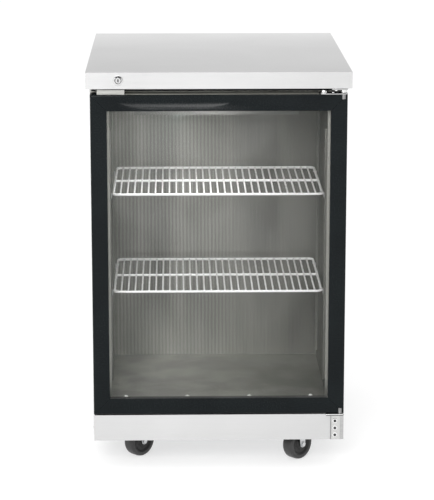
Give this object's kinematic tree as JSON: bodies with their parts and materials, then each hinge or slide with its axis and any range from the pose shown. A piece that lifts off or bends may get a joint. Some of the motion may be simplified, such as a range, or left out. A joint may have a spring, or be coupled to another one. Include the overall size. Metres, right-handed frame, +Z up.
{
  "type": "undercounter refrigerator",
  "caption": "Undercounter refrigerator with a hinged black-framed glass door, wire shelves, a stainless worktop with a key lock, a toe-kick panel and swivel casters.",
  "frame": {"origin": "on the floor, under the middle of the whole object's box", "axes": "+Z up; +X to the right of someone facing the door; the door looks along -Y"},
  "size_m": [0.61, 0.714, 0.95],
  "materials": {
    "worktop_steel": "brushed stainless, satin",
    "shell_steel": "brushed stainless, satin",
    "liner_steel": "brushed stainless, satin, darker inside",
    "door_frame_black": "black extrusion, semi-gloss",
    "door_glass": "clear",
    "glass_spacer": "satin",
    "gasket_rubber": "matte",
    "bright_hardware": "bright plated",
    "zinc_hardware": "zinc plated",
    "white_coated_wire": "white coated wire, semi-gloss",
    "foam": "foamed",
    "galvanised_sheet": "galvanised",
    "white_plastic": "moulded",
    "coil_aluminium": "finned",
    "black_plastic": "moulded",
    "black_machine_paint": "semi-gloss",
    "wheel_rubber": "matte"
  },
  "bodies": {
    "cabinet": {"base_pan": "galvanised_sheet", "caster_plate_front_left": "zinc_hardware", "caster_plate_front_right": "zinc_hardware", "caster_plate_rear_left": "zinc_hardware", "caster_plate_rear_right": "zinc_hardware", "compressor": "black_machine_paint", "condenser": "coil_aluminium", "condenser_motor": "black_machine_paint", "evaporator_coil": "coil_aluminium", "evaporator_cover": "white_plastic", "evaporator_motor": "black_machine_paint", "front_collar": "shell_steel", "hinge_bracket_bottom": "bright_hardware", "hinge_plate_top": "bright_hardware", "insulation": "foam", "kick_panel": "shell_steel", "light_bar": "white_plastic", "liner_back": "liner_steel", "liner_ceiling": "liner_steel", "liner_floor": "liner_steel", "liner_left": "liner_steel", "liner_right": "liner_steel", "lock_bezel": "bright_hardware", "rear_grille": "galvanised_sheet", "side_panel_left": "shell_steel", "side_panel_right": "shell_steel", "standard_front_left": "liner_steel", "standard_front_right": "liner_steel", "standard_rear_left": "liner_steel", "standard_rear_right": "liner_steel", "worktop": "worktop_steel"},
    "door": {"door_gasket": "gasket_rubber", "door_rail_bottom": "door_frame_black", "door_rail_top": "door_frame_black", "door_stile_left": "door_frame_black", "door_stile_right": "door_frame_black", "door_strike": "bright_hardware", "glass_inner": "door_glass", "glass_outer": "door_glass", "glass_spacer": "glass_spacer", "hinge_strap": "bright_hardware", "hinge_bush": "bright_hardware"},
    "lock": {"lock_plug": "bright_hardware", "lock_cam": "zinc_hardware"},
    "shelf_upper": {"shelf_upper": "white_coated_wire"},
    "shelf_lower": {"shelf_lower": "white_coated_wire"},
    "evaporator_fan": {"evaporator_fan": "black_plastic"},
    "condenser_fan": {"condenser_fan": "black_plastic"},
    "thermostat_knob": {"thermostat_knob": "black_plastic"},
    "light_switch": {"light_switch": "black_plastic"},
    "caster_fork_front_left": {"caster_fork_front_left": "zinc_hardware"},
    "caster_wheel_front_left": {"caster_wheel_front_left": "wheel_rubber"},
    "brake_lever_front_left": {"brake_lever_front_left": "black_plastic"},
    "caster_fork_front_right": {"caster_fork_front_right": "zinc_hardware"},
    "caster_wheel_front_right": {"caster_wheel_front_right": "wheel_rubber"},
    "brake_lever_front_right": {"brake_lever_front_right": "black_plastic"},
    "caster_fork_rear_left": {"caster_fork_rear_left": "zinc_hardware"},
    "caster_wheel_rear_left": {"caster_wheel_rear_left": "wheel_rubber"},
    "caster_fork_rear_right": {"caster_fork_rear_right": "zinc_hardware"},
    "caster_wheel_rear_right": {"caster_wheel_rear_right": "wheel_rubber"}
  },
  "joints": [
    {"name": "door_hinge", "type": "hinge", "parent": "cabinet", "child": "door", "pos_m": [0.286, -0.346, 0.5], "axis": [0, 0, 1], "range_deg": [0, 105]},
    {"name": "lock_turn", "type": "hinge", "parent": "cabinet", "child": "lock", "pos_m": [-0.23, -0.33, 0.9315], "axis": [0, 1, 0], "range_deg": [0, 90]},
    {"name": "shelf_upper_lift", "type": "slide", "parent": "cabinet", "child": "shelf_upper", "axis": [0, 0, 1], "range_m": [0, 0.02]},
    {"name": "shelf_lower_lift", "type": "slide", "parent": "cabinet", "child": "shelf_lower", "axis": [0, 0, 1], "range_m": [0, 0.02]},
    {"name": "evaporator_fan_spin", "type": "hinge", "parent": "cabinet", "child": "evaporator_fan", "pos_m": [0.12, 0.022, 0.816], "axis": [0, 0, 1], "continuous": true},
    {"name": "condenser_fan_spin", "type": "hinge", "parent": "cabinet", "child": "condenser_fan", "pos_m": [0.17, 0.267, 0.215], "axis": [0, 1, 0], "continuous": true},
    {"name": "thermostat_turn", "type": "hinge", "parent": "cabinet", "child": "thermostat_knob", "pos_m": [0, -0.063, 0.836], "axis": [0, 1, 0], "range_deg": [0, 270]},
    {"name": "light_switch_rock", "type": "hinge", "parent": "cabinet", "child": "light_switch", "pos_m": [0.052, -0.053, 0.838], "axis": [1, 0, 0], "range_deg": [0, 14]},
    {"name": "caster_swivel_front_left", "type": "hinge", "parent": "cabinet", "child": "caster_fork_front_left", "pos_m": [-0.206, -0.252, 0.08], "axis": [0, 0, 1], "continuous": true},
    {"name": "wheel_spin_front_left", "type": "hinge", "parent": "caster_fork_front_left", "child": "caster_wheel_front_left", "pos_m": [-0.19044, -0.23644, 0.038], "axis": [-0.7071, 0.7071, 0], "continuous": true},
    {"name": "brake_press_front_left", "type": "hinge", "parent": "caster_fork_front_left", "child": "brake_lever_front_left", "pos_m": [-0.1664, -0.2124, 0.066], "axis": [-0.7071, 0.7071, 0], "range_deg": [0, 16]},
    {"name": "caster_swivel_front_right", "type": "hinge", "parent": "cabinet", "child": "caster_fork_front_right", "pos_m": [0.206, -0.252, 0.08], "axis": [0, 0, 1], "continuous": true},
    {"name": "wheel_spin_front_right", "type": "hinge", "parent": "caster_fork_front_right", "child": "caster_wheel_front_right", "pos_m": [0.19044, -0.26756, 0.038], "axis": [0.7071, -0.7071, 0], "continuous": true},
    {"name": "brake_press_front_right", "type": "hinge", "parent": "caster_fork_front_right", "child": "brake_lever_front_right", "pos_m": [0.1664, -0.2916, 0.066], "axis": [0.7071, -0.7071, 0], "range_deg": [0, 16]},
    {"name": "caster_swivel_rear_left", "type": "hinge", "parent": "cabinet", "child": "caster_fork_rear_left", "pos_m": [-0.206, 0.262, 0.08], "axis": [0, 0, 1], "continuous": true},
    {"name": "wheel_spin_rear_left", "type": "hinge", "parent": "caster_fork_rear_left", "child": "caster_wheel_rear_left", "pos_m": [-0.206, 0.24, 0.038], "axis": [1, 0, 0], "continuous": true},
    {"name": "caster_swivel_rear_right", "type": "hinge", "parent": "cabinet", "child": "caster_fork_rear_right", "pos_m": [0.206, 0.262, 0.08], "axis": [0, 0, 1], "continuous": true},
    {"name": "wheel_spin_rear_right", "type": "hinge", "parent": "caster_fork_rear_right", "child": "caster_wheel_rear_right", "pos_m": [0.206, 0.24, 0.038], "axis": [1, 0, 0], "continuous": true}
  ]
}
